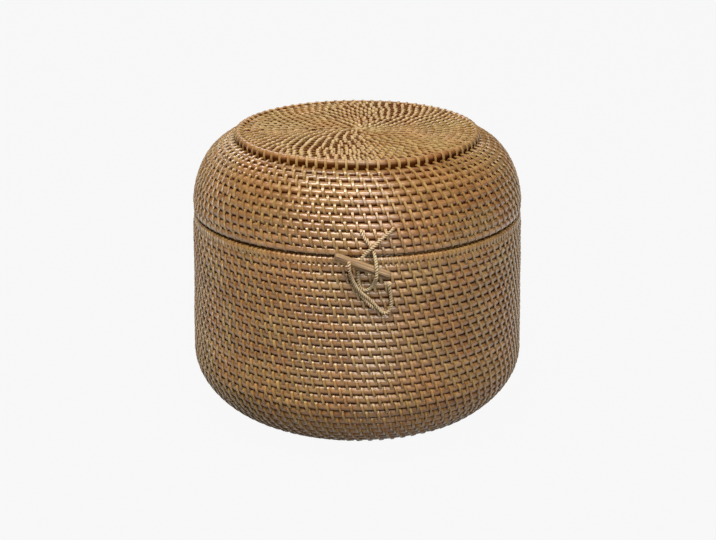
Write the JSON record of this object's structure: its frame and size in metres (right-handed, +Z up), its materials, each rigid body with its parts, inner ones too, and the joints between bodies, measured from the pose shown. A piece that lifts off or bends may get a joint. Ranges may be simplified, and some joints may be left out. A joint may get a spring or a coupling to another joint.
{
  "type": "lidded coiled rattan box",
  "caption": "Round coiled-rattan storage box with a domed hinged lid, a raised flat top and a front peg-and-loop clasp.",
  "frame": {"origin": "centre of the base, on the surface that the box stands on", "axes": "+Z up, the clasp towards -Y and the hinge towards +Y"},
  "size_m": [0.2622, 0.2752, 0.2331],
  "materials": {
    "cane": "varnished brown rattan cane bound with paler cane strand",
    "rim": "varnished rattan cane, closely overcast",
    "cord": "twisted cane strand, satin",
    "peg": "split cane stick, worn smooth"
  },
  "bodies": {
    "body": {"base_coil": "cane", "body_coil": "cane", "body_rim": "rim", "body_collar": "cane", "lower_loop": "cord", "lower_loop_knot_right": "cord", "lower_loop_knot_left": "cord", "hinge_loop_left": "cord", "hinge_loop_right": "cord"},
    "lid": {"lid_rim": "rim", "lid_coil": "cane", "lid_top": "cane", "upper_loop": "cord", "upper_loop_knot_left": "cord", "upper_loop_knot_right": "cord"},
    "peg": {"toggle_peg": "peg"}
  },
  "joints": [
    {"name": "lid_hinge", "type": "hinge", "parent": "body", "child": "lid", "pos_m": [0, 0.13, 0.1693], "axis": [-1, 0, 0], "range_deg": [0, 105], "deforming": ["hinge_loop_left", "hinge_loop_right", "upper_loop"]},
    {"name": "peg_slide", "type": "slide", "parent": "body", "child": "peg", "axis": [-0.9397, 0, 0.342], "range_m": [0, 0.03], "deforming": ["lower_loop"]}
  ]
}
